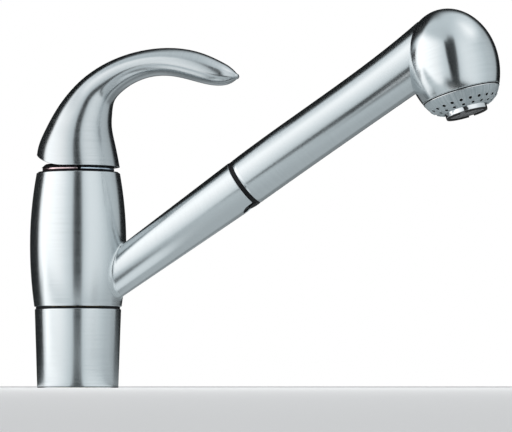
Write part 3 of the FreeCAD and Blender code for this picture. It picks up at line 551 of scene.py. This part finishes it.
# One small turned shape at every jet: a profile about the face's own normal, repeated on both rings
def jetSkin(name, words):
    profile = np.array(cornersOf(jet, words))
    spots, outs = [], []
    for ringRadius, count in jet["rings"]:
        angle = ringAngles(count)
        lean = (ringRadius - faceCentre[0]) / faceArc
        ring = np.stack([np.cos(angle), np.sin(angle)], 1)
        spots.append(np.column_stack([ring * ringRadius, np.full(count, faceHeight(ringRadius))]))
        outs.append(np.column_stack([ring * lean, np.full(count, np.sqrt(1 - lean ** 2))]))
    spots, outs = np.vstack(spots), np.vstack(outs)
    side = np.cross(outs, np.array([0.0, 0.0, 1.0]))
    side /= np.linalg.norm(side, axis=1)[:, None]
    other = np.cross(outs, side)
    angle = ringAngles(jet["steps"])[:, None]
    ring = side[:, None] * np.cos(angle) + other[:, None] * np.sin(angle)
    local = (spots[:, None, None] + profile[:, 0][:, None, None] * ring[:, None]
             + profile[:, 1][:, None, None] * outs[:, None, None])
    made = [skin(name, toObject(headAxes, one)) for one in local]
    with bpy.context.temp_override(active_object=made[0], selected_editable_objects=made):
        bpy.ops.object.join()
    return made[0]


jetWords = "0 root, base root, base 0, shoulder bevel, top height, hole height, hole floor, 0 floor"
fit(jetSkin("spray_jets", jetWords), "handset", "grey_plastic", sprayGrey)
# Near black discs low in the jet holes: painted shade for the depth of each hole
boreWords = "0 boreFloor, hole boreFloor, hole boreTop, 0 boreTop"
fit(jetSkin("jet_bores", boreWords), "handset", "black_rubber", sealBlackAndHoleShade)

# Hose behind the handset: a tube with a braided cover. Its radius falls away from the higher of two cosines,
# one of the angle plus the run and one of the angle less the run, so two sets of strands cross as screws.
hose = dict(start=30.95, end=110.0, radius=5.48, bore=3.5, strands=12, pitch=2.9, depth=0.35, rows=260,
            steps=120)
hoseRun = np.linspace(hose["start"], hose["end"], hose["rows"])[:, None]
hoseAngle = ringAngles(hose["steps"])
hoseTurn, hoseClimb = hose["strands"] * hoseAngle, 2 * np.pi * hoseRun / hose["pitch"]
hoseWave = np.maximum(np.cos(hoseTurn + hoseClimb), np.cos(hoseTurn - hoseClimb))
hoseRadius = np.concatenate([hose["radius"] - hose["depth"] * (1 - hoseWave) / 2,
                             np.full((2, hose["steps"]), hose["bore"])])
hoseStation = np.concatenate([hoseRun, [[hose["end"]], [hose["start"]]]])
fit(skin("hose_skin", turned(spoutAxes, hoseRadius, hoseAngle, hoseStation), closedAlong=True), "handset",
    "hose_braid", hoseBraid, "spray_hose")

# Bright collar around the aerator
collar = dict(top=25.1, flange=26.4, flangeRadius=13.6, flangeEdge=0.15, radius=12.1, rim=33.8, bore=10.3,
              aerator=29.7, coreBore=9.38, edge=0.45)
collarProfile = rounded(cornersOf(
    collar, "coreBore top, flangeRadius top flangeEdge, flangeRadius flange flangeEdge, radius flange,"
            " radius rim edge, bore rim edge, bore aerator, coreBore aerator"))
fitTurned("collar_skin", collarProfile, headAxes, "collar", "chrome", chrome, "jet_collar")

# Rubber lip at the end of the collar, with two key slots as wide as the cut in the solid: the lip sinks
# where its side distance is small
lip = dict(bore=10.4, root=33.0, rootRadius=11.8, rim=33.8, rimRadius=12.05, rimEdge=0.1, end=34.6,
           endRadius=11.9, edge=0.3, slotWidth=3.0, slotDepth=0.8, steps=360)
lipProfile = rounded(cornersOf(
    lip, "bore root, rootRadius root, rimRadius rim rimEdge, endRadius end edge, bore end edge"))
lipAside = np.abs(lipProfile[:, :1] * np.cos(ringAngles(lip["steps"])))
lipOver = np.clip(lipProfile[:, 1:] - (lip["end"] - lip["slotDepth"]), 0, None)
lipSink = np.where(lipAside < lip["slotWidth"] / 2, lipOver, 0.0)
lipPoints = revolved(lipProfile, headAxes, lip["steps"]) - lipSink[..., None] * headAxes["along"]
fit(skin("collar_lip", lipPoints, closedAlong=True), "collar", "black_rubber", rubber)
print("handset made")

# Neck ring under the lever: a dark ring with a thin flange, a bead that carries the two marks, and over it
# a ball shaped lip that follows the swing of the lever about its pivot
neck = dict(skirtBore=18.8, skirtFoot=118.0, skirtRadius=21.15, flangeFoot=125.2, flange=23.4,
            flangeTop=125.85, core=19.9, bead=20.8, beadFoot=126.25, beadTop=128.2, beadRows=15, pivot=107.0,
            lipBall=30.2, lipFoot=128.35, lipTop=130.3, lipWall=1.0, lipRows=10, top=128.6, bore=15.0,
            web=126.6)
beadMiddle = (neck["beadTop"] + neck["beadFoot"]) / 2
beadHalf = (neck["beadTop"] - neck["beadFoot"]) / 2
beadTurn = np.linspace(0, np.pi, neck["beadRows"])
ballHeight = np.linspace(neck["lipFoot"], neck["lipTop"], neck["lipRows"])
ballRadius = np.sqrt(neck["lipBall"] ** 2 - (ballHeight - neck["pivot"]) ** 2)
neck["lipBore"] = ballRadius[-1] - neck["lipWall"]


# Half an oval that stands out of the core of the ring
def beadArc(lift):
    return np.stack([neck["core"] + (neck["bead"] - neck["core"] + lift) * np.sin(beadTurn),
                     beadMiddle - (beadHalf + lift / 2) * np.cos(beadTurn)], 1)


neckProfile = np.vstack([
    cornersOf(neck, "skirtBore skirtFoot, skirtRadius skirtFoot, skirtRadius flangeFoot, flange flangeFoot,"
                    " flange flangeTop, core flangeTop"),
    beadArc(0.0),
    np.stack([ballRadius, ballHeight], 1),
    cornersOf(neck, "lipBore lipTop, lipBore top, bore top, bore web, skirtBore web"),
])
# The ring's black is partly its own colour and partly painted shade for the gaps above and below the marks
fitTurned("neck_skin", neckProfile, upright, "column", "black_plastic", blackPlastic, "neck_ring")

# The two marks, each with the angles where it starts and ends
mark = dict(hot=(-165.0, -72.0), cold=(-66.0, 27.0), lift=0.2, root=0.2, steps=80)


# A mark is the bead grown a little over a range of angles, drawn in to a point at both ends
def markSkin(name, ends):
    loop = beadArc(mark["lift"])
    rootRadius = neck["core"] - mark["root"]
    loop = np.vstack([loop, [(rootRadius, loop[-1, 1]), (rootRadius, loop[0, 1])]])
    angle = np.radians(np.linspace(*ends, mark["steps"]))
    angle = np.concatenate([angle[:1], angle, angle[-1:]])
    full = np.ones(len(angle))
    full[[0, -1]] = 0.0
    centre = loop.mean(0)
    radius, height = (centre[k] + (loop[:, k, None] - centre[k]) * full for k in (0, 1))
    return skin(name, turned(upright, radius, angle, height), closedAlong=True, closedAround=False)


fit(markSkin("hot_band", mark["hot"]), "column", "hot_red", hotEnamel, "hot_mark")
fit(markSkin("cold_band", mark["cold"]), "column", "cold_blue", coldEnamel, "cold_mark")

# Lever: ovals on a leaning line from the rim over the dome to the tip, with a hollow under the dome.
# A point is the station's middle plus its half depth across and its half width to the side.
# A station is its reach, its rise over the rim, its lean, its half depth and its half width.
lever = dict(
    rim=128.8, relief=39.0, reliefTop=20.0, reliefReach=30.0, rows=170, crowding=1.25, capRows=8,
    capReach=1.3, edge=0.35, edgeRuns=(0.1, 0.3, 0.6), edgeEnd=1.0,
    hollow=((21.8, 0.0), (21.6, 1.2), (20.2, 11.2), (14.5, 16.2), (7.0, 16.2), (0.0, 16.2)), hollowFade=16.0,
    stations=((-0.2, 0.0, 0.0, 24.4, 24.4), (-0.8, 11.2, 0.0, 22.8, 22.9), (0.5, 23.2, 0.0, 19.1, 19.6),
              (3.8, 32.7, 6.0, 16.1, 16.8), (9.0, 42.0, 17.0, 12.8, 13.8), (18.2, 50.2, 41.0, 10.1, 12.1),
              (32.1, 57.1, 69.0, 8.4, 11.2), (55.0, 60.4, 90.0, 8.1, 10.8), (75.6, 56.2, 97.0, 8.5, 10.3),
              (87.0, 52.6, 98.0, 6.9, 8.8), (93.9, 51.2, 96.0, 4.0, 5.6), (96.9, 50.8, 95.0, 1.6, 2.6)),
)
leverAngle = ringAngles(roundSteps)
leverKnots = np.array(lever["stations"])
leverRun = np.concatenate([[0.0], np.cumsum(np.linalg.norm(np.diff(leverKnots[:, :2], axis=0), axis=1))])
leverAt = leverRun[-1] * (1 - (1 - np.linspace(0, 1, lever["rows"])) ** lever["crowding"])


# Points of the outer surface at a run along the lever and an angle around it
def onLever(run, angle):
    shape = spline(leverRun, leverKnots, run.ravel()).reshape(run.shape + (5,))
    reach, height, tilt, depth, width = np.moveaxis(shape, -1, 0)
    lean = np.radians(tilt)
    return np.stack([reach + depth * np.cos(angle) * np.cos(lean), width * np.sin(angle),
                     lever["rim"] + height - depth * np.cos(angle) * np.sin(lean)], -1)


# Rise of the rim where the skirt is cut back by a drum behind the middle
def reliefRise(x):
    behind = np.clip(x, -lever["reliefReach"], 0)
    return lever["relief"] - np.sqrt(lever["relief"] ** 2 - behind ** 2)


# Whether a run lies on the part of the skirt that the drum cuts away
def cutAway(run):
    spot = onLever(run, leverAngle)
    return spot[:, 2] - lever["rim"] < reliefRise(spot[:, 0])


leverStart = lastPlace(0 * leverAngle, lever["reliefTop"], cutAway)
leverRows = np.concatenate([lever["edgeRuns"], leverAt[leverAt > lever["edgeEnd"]]])[:, None]
leverRows = np.where(leverRows < lever["reliefTop"],
                     leverStart + leverRows * (1 - leverStart / lever["reliefTop"]), leverRows)
leverOuter = onLever(leverRows, leverAngle)
rimRing = drawnIn(onLever(leverStart, leverAngle), lever["edge"])
rimRing[:, 2] = lever["rim"] + reliefRise(rimRing[:, 0])
# The tip closes on a quarter oval past the last station
close = np.linspace(0, np.pi / 2, lever["capRows"] + 1)[1:, None, None]
tipReach, tipRise, tipLean = leverKnots[-1, :3]
tipAxes = localAxes((tipReach, 0.0, lever["rim"] + tipRise), tipLean)
tipRows = (tipAxes["origin"] + (leverOuter[-1] - tipAxes["origin"]) * np.cos(close)
           + lever["capReach"] * np.sin(close) * tipAxes["along"])
leverOuter = np.concatenate([rimRing[None], leverOuter, tipRows])
leverInner = revolved(np.array(lever["hollow"]), localAxes((0, 0, lever["rim"]), 0))
innerFade = np.clip(1 - (leverInner[:, :, 2] - lever["rim"]) / lever["hollowFade"], 0, 1)
leverInner[:, :, 2] += reliefRise(leverInner[0, :, 0]) * innerFade
fit(skin("lever_skin", np.concatenate([leverInner[::-1], leverOuter])), "lever", "satin_steel", shadedLeverSteel,
    "lever_handle")

# Plug over the lever screw: a round button that follows the back of the lever.
# Its rows are shares of its radius, each with its lift in shares of how proud it stands.
plug = dict(rise=17.4, radius=3.4, proud=0.2, steps=72, searchRun=40.0, searchRows=120,
            shares=(0.0, 0.5, 0.8, 0.9, 0.95, 0.985, 1.0, 1.0, 0.0),
            lifts=(1.0, 1.0, 1.0, 0.96, 0.85, 0.6, 0.1, -3.0, -3.0))
plugShape = spline(leverRun, leverKnots, np.linspace(0, plug["searchRun"], plug["searchRows"]))


# Reach of the back of the lever at a side and a rise: the oval of that rise, solved for its rear half
def leverBack(side, riseAt):
    reach, depth, width = (np.interp(riseAt, plugShape[:, 1], plugShape[:, k]) for k in (0, 3, 4))
    return reach - depth * np.sqrt(1 - (side / width) ** 2)


plugAngle = ringAngles(plug["steps"])
plugRadius = plug["radius"] * np.array(plug["shares"])[:, None]
plugLift = plug["proud"] * np.array(plug["lifts"])[:, None]
plugSide, plugRise = plugRadius * np.cos(plugAngle), plug["rise"] + plugRadius * np.sin(plugAngle)
plugPoints = np.stack([leverBack(plugSide, plugRise) - plugLift, plugSide, lever["rim"] + plugRise], 2)
fit(skin("screw_plug", plugPoints), "lever", "satin_steel", shadedLeverSteel, "lever_screw_cap")
print("lever made")

# Stage

stageLook = dict(floorSize=14.0, floorTone=(0.8, 0.81, 0.82), floorRoughness=0.7, white=1.0, worldFill=0.55)
floorMesh = bpy.data.meshes.new("floor")
half = stageLook["floorSize"] / 2
floorCorners = [(-half, -half, 0), (half, -half, 0), (half, half, 0), (-half, half, 0)]
floorMesh.from_pydata(floorCorners, [], [(0, 1, 2, 3)])
floor = bpy.data.objects.new("floor", floorMesh)
bpy.context.scene.collection.objects.link(floor)
floorFinish, tree, shader = newMaterial("pale_floor")
feed(tree, shader, {"Base Color": (*stageLook["floorTone"], 1), "Roughness": stageLook["floorRoughness"]})
floorMesh.materials.append(floorFinish)
floor.visible_glossy = False

# Camera, in millimetres, degrees and pixels
camera = dict(focal=3300.0, distance=1930.0, swing=19.7, eye=1.0, deckRow=388.0, axisCol=78.0, width=512.0,
              height=432.0, sensor=36.0, clip=(0.05, 50.0))
swing = np.radians(camera["swing"])
toCamera = np.array([np.sin(swing), -np.cos(swing), 0.0])
toRight = np.array([np.cos(swing), np.sin(swing), 0.0])
upWay = np.array([0.0, 0.0, 1.0])


# Points of the stage from their runs to the right, towards the camera and up
def stagePoints(aside, front, height):
    aside, front, height = np.broadcast_arrays(aside, front, height)
    return aside[..., None] * toRight + front[..., None] * toCamera + height[..., None] * upWay


# Direction at a bearing from the camera, right positive, and an elevation
def wayTo(bearing, elevation):
    b, e = np.radians(bearing), np.radians(elevation)
    return stagePoints(np.cos(e) * np.sin(b), np.cos(e) * np.cos(b), np.sin(e))


# Card that only reflections see, with its brightness at each point of the grid. It is cooler where it is dim.
cardTint = dict(dim=(0.92, 1.0, 1.035), bright=(1.0, 1.0, 1.0), dimLevel=0.8, brightLevel=1.35)


def shadeCard(name, points, tones, closedAround=False):
    card = skin(name, points / mm, closedAround=closedAround)
    glowing = card.data.attributes.new("glow", "FLOAT", "POINT")
    glowing.data.foreach_set("value", np.asarray(tones, np.float32).ravel())
    finish, cardTree, cardShader = newMaterial(name)
    level = addNode(cardTree, "ShaderNodeAttribute", {}, attribute_name="glow")["Fac"]
    brightness = ramp(cardTree, level, 0, 1, cardTint["dimLevel"], cardTint["brightLevel"])
    colour = tinted(cardTree, brightness, cardTint["dim"], cardTint["bright"])
    glow = addNode(cardTree, "ShaderNodeEmission", {"Color": colour, "Strength": level})
    feed(cardTree, cardTree.nodes["Material Output"], {"Surface": glow["Emission"]})
    cardTree.nodes.remove(cardShader)
    card.data.materials.append(finish)
    for ray in ("camera", "diffuse", "shadow", "transmission"):
        setattr(card, "visible_" + ray, False)


# Smooth step from 0 at low to 1 at high
def smooth(value, low, high):
    t = np.clip((value - low) / (high - low), 0, 1)
    return t * t * (3 - 2 * t)


# Smooth step about a middle, over a width
def softEdge(value, middle, width):
    return smooth(value, middle - width / 2, middle + width / 2)


# Smooth window that rises over one range and falls over a later one
def window(value, rise, fall):
    return smooth(value, *rise) * (1 - smooth(value, *fall))


# Light tent: part of a sphere about the tap. Its brightness follows the bearing, fades to the overhead level,
# has a dark strip at the camera, falls to the under level below its rim, and is dark behind the tap out to an
# angle that depends on the way round.
tent = dict(
    radius=3.0, low=-34.0, high=89.0, cols=360, rows=124,
    bearings=(-180, -110, -98, -84, -72, -60, -50, -39, -29, -19, 10, 19, 29, 39, 50, 60, 72, 84, 98, 114,
              126, 180),
    tones=(1.3, 1.7, 1.75, 1.6, 1.55, 1.45, 1.35, 1.2, 1.02, 0.86, 0.85, 1.0, 1.08, 1.06, 1.02, 0.92, 0.82,
           0.72, 0.68, 0.58, 0.56, 0.6),
    overhead=(34.0, 52.0), highBearings=(-180, -110, -67, -20, 0, 40, 73, 120, 180),
    highTones=(0.85, 0.85, 0.76, 0.72, 0.76, 1.0, 1.4, 0.95, 0.85), zenith=0.8, zenithRange=(55.0, 85.0),
    strip=0.05, stripLeft=(-14.0, -11.0), stripRight=(7.5, 10.5), stripTop=(44.0, 56.0),
    underBearings=(-180, -28, -22, 20, 60, 180), underTones=(0.5, 0.5, 0.05, 0.05, 0.3, 0.3),
    rimBearings=(-180, -38, -30, 180), rimElevations=(-29, -29, -19, -19), rimSofts=(6, 6, 2, 2),
    darkWays=(-180, -110, -90, -60, -46, -30, -20, -10, 0, 30, 60, 90, 110, 180),
    darkAngles=(64, 68, 66, 66, 78, 75, 72, 70, 62, 54, 56, 61, 62, 64),
    darkSofts=(10, 44, 46, 40, 8, 8, 24, 44, 36, 18, 12, 8, 8, 10), dark=0.012)
tentBearing = np.linspace(-180, 180, tent["cols"] + 1)[:-1][None, :]
tentElevation = np.linspace(tent["low"], tent["high"], tent["rows"])[:, None]


# Value of the tent at bearings, or at ways round, from a row of knots and a row of values
def tentRow(at, knots, values):
    return np.interp(at, tent[knots], tent[values])


highTone = mixed(tentRow(tentBearing, "highBearings", "highTones"), tent["zenith"],
                 smooth(tentElevation, *tent["zenithRange"]))
tentTone = mixed(tentRow(tentBearing, "bearings", "tones"), highTone,
                 smooth(tentElevation, *tent["overhead"]))
inStrip = (window(tentBearing, tent["stripLeft"], tent["stripRight"])
           * (1 - smooth(tentElevation, *tent["stripTop"])))
tentTone = mixed(tentTone, tent["strip"], inStrip)
# The rim is soft at the left and sharp in front
rimAt, rimSoft = (tentRow(tentBearing, "rimBearings", values) for values in ("rimElevations", "rimSofts"))
underTone = tentRow(tentBearing, "underBearings", "underTones")
tentTone = mixed(underTone, tentTone, softEdge(tentElevation, rimAt, rimSoft))
tentPoints = tent["radius"] * wayTo(tentBearing, tentElevation)
tentFront, tentAside, tentUp = (tentPoints @ way / tent["radius"] for way in (toCamera, toRight, upWay))
fromRear = np.degrees(np.arccos(np.clip(-tentFront, -1, 1)))
wayRound = np.degrees(np.arctan2(tentAside, tentUp))
darkAngle, darkSoft = (tentRow(wayRound, "darkWays", values) for values in ("darkAngles", "darkSofts"))
tentTone = mixed(tent["dark"], tentTone, softEdge(fromRear, darkAngle, darkSoft))
shadeCard("light_tent", tentPoints, tentTone, closedAround=True)

# Dark screen behind the tap at the left, taller further out
screen = dict(near=-0.03, far=-0.34, depth=0.1, height=0.2, rise=0.5, tone=0.02, cols=9, rows=5)
screenAside = np.linspace(screen["far"], screen["near"], screen["cols"])[None, :]
screenTop = screen["height"] - screen["rise"] * screenAside
screenHeight = np.linspace(0, 1, screen["rows"])[:, None] * screenTop
shadeCard("left_screen", stagePoints(screenAside, -screen["depth"], screenHeight),
          np.full(screenHeight.shape, screen["tone"]))

# Slanted dark screen in front, which darkens the head. For the column it lies in the tent's dark strip.
headScreen = dict(front=0.8, left=-0.03, slant=-0.2, level=0.19, width=0.125, top=0.85, tone=0.02, cols=5,
                  rows=12)
headHeight = np.linspace(0, headScreen["top"], headScreen["rows"])[:, None]
headAside = (headScreen["left"] + headScreen["slant"] * (headHeight - headScreen["level"])
             + headScreen["width"] * np.linspace(0, 1, headScreen["cols"])[None, :])
shadeCard("head_screen", stagePoints(headAside, headScreen["front"], headHeight),
          np.full(headAside.shape, headScreen["tone"]))

# The slab as reflections see it: grey in front with a dim patch ahead at the right, lighter at the left, dark
# at the foot, and dim behind with one lighter patch
slab = dict(side=0.9, back=-0.63, front=0.275, lift=0.0004, cols=181, rows=182,
            near=0.56, far=0.74, nearToFar=(0.05, 0.27),
            leftEdge=(0.0, 0.08), leftFronts=(0.0, 0.09, 0.13, 0.2, 0.275),
            leftTones=(1.5, 1.3, 0.75, 0.7, 1.1),
            ahead=0.15, aheadSides=((0.14, 0.18), (0.27, 0.31)), aheadFront=(0.19, 0.24),
            rear=0.3, rearEdge=(0.03, 0.07), patch=0.45, patchSides=(0.0, 0.16), patchBacks=(0.12, 0.45),
            shade=0.08, shadeSides=((-0.05, -0.02), (0.06, 0.1)), shadeFronts=((-0.08, -0.04), (0.04, 0.09)))
slabAside = np.linspace(-slab["side"], slab["side"], slab["cols"])[None, :]
slabFront = np.linspace(slab["back"], slab["front"], slab["rows"])[:, None]
slabTone = mixed(slab["near"], slab["far"], smooth(slabFront, *slab["nearToFar"]))
leftTone = np.interp(slabFront, slab["leftFronts"], slab["leftTones"])
slabTone = mixed(slabTone, leftTone, smooth(-slabAside, *slab["leftEdge"]))
isAhead = window(slabAside, *slab["aheadSides"]) * smooth(slabFront, *slab["aheadFront"])
slabTone = mixed(slabTone, slab["ahead"], isAhead)
slabTone = mixed(slabTone, slab["rear"], smooth(-slabFront, *slab["rearEdge"]))
inPatch = ((slabAside > slab["patchSides"][0]) & (slabAside < slab["patchSides"][1])
           & (-slabFront > slab["patchBacks"][0]) & (-slabFront < slab["patchBacks"][1]))
slabTone = np.where(inPatch, slab["patch"], slabTone)
inShade = window(-slabAside, *slab["shadeSides"]) * window(slabFront, *slab["shadeFronts"])
slabTone = mixed(slabTone, slab["shade"], inShade)
shadeCard("slab_shine", stagePoints(slabAside, slabFront, slab["lift"]), slabTone)

# The slab close around the foot carries on the tones of the tent's level row, so the base stays even
foot = dict(inner=0.0238, lift=0.0008, rows=24, cols=178, bearings=(-150, -20, 10, 62),
            reaches=(0.2, 0.16, 0.12, 0.085), shareBearings=(-110, -93, -60, 20, 62),
            shares=(0.0, 0.66, 0.87, 0.94, 0.92), least=0.16)
footBearing = np.linspace(foot["bearings"][0], foot["bearings"][-1], foot["cols"])[None, :]
footReach = mixed(foot["inner"], np.interp(footBearing, foot["bearings"], foot["reaches"]),
                  np.linspace(0, 1, foot["rows"])[:, None])
levelRow = tentTone[np.abs(tentElevation[:, 0]).argmin()]
footShare = np.interp(footBearing, foot["shareBearings"], foot["shares"])
footTone = np.maximum(np.interp(footBearing, tentBearing[0], levelRow) * footShare, foot["least"])
footPoints = footReach[..., None] * wayTo(footBearing, 0.0) + foot["lift"] * upWay
shadeCard("foot_shine", footPoints, footTone + 0 * footReach)

# Soft lights: square lamps aimed at the tap, each with its bearing, elevation, distance and energy
lamps = dict(left_light=(-66, 25, 1.6, 12.0), right_light=(62, 30, 1.9, 8.0), top_light=(20, 75, 1.5, 8.0))
lampSize = 1.2
lampAim = Vector((0.07, 0.0, 0.12))
for name, (bearing, elevation, distance, energy) in lamps.items():
    lamp = bpy.data.lights.new(name, "AREA")
    lamp.shape = "RECTANGLE"
    lamp.size, lamp.size_y = lampSize, lampSize
    lamp.energy = energy
    piece = bpy.data.objects.new(name, lamp)
    way = Vector(wayTo(bearing, elevation))
    piece.location = lampAim + way * distance
    piece.rotation_mode = "QUATERNION"
    piece.rotation_quaternion = way.to_track_quat("Z", "Y")
    piece.visible_glossy = False
    bpy.context.scene.collection.objects.link(piece)

# World: white where the camera or a reflection sees it, and a weaker fill for the rest
world = bpy.data.worlds.new("studio")
bpy.context.scene.world = world
world.use_nodes = True
tree = world.node_tree
path = addNode(tree, "ShaderNodeLightPath", {})
seen = path["Is Camera Ray"]
for ray in ("Is Glossy Ray", "Is Transmission Ray"):
    seen = addNode(tree, "ShaderNodeMath", {0: seen, 1: path[ray]}, operation="MAXIMUM")["Value"]
level = ramp(tree, seen, stageLook["worldFill"], stageLook["white"], 0.0, 1.0)
feed(tree, tree.nodes["Background"], {"Color": (1, 1, 1, 1), "Strength": level})
bpy.context.scene.view_settings.view_transform = "Standard"

# Camera at deck level, turned so that the column's axis and the deck fall on their column and row
lens = bpy.data.cameras.new("camera")
lens.sensor_width = camera["sensor"]
lens.lens = camera["focal"] / camera["width"] * camera["sensor"]
lens.clip_start, lens.clip_end = camera["clip"]
view = bpy.data.objects.new("camera", lens)
bpy.context.scene.collection.objects.link(view)
horizon = camera["deckRow"] - camera["focal"] * camera["eye"] / camera["distance"]
yaw = np.arctan((camera["width"] / 2 - camera["axisCol"]) / camera["focal"])
pitch = np.arctan((horizon - camera["height"] / 2) / camera["focal"] * np.cos(yaw))
forward = stagePoints(np.cos(pitch) * np.sin(yaw), -np.cos(pitch) * np.cos(yaw), np.sin(pitch))
view.location = Vector(stagePoints(0.0, camera["distance"], camera["eye"]) * mm)
view.rotation_mode = "QUATERNION"
view.rotation_quaternion = Vector(forward).to_track_quat("-Z", "Y")
bpy.context.scene.camera = view
print("stage and camera made")
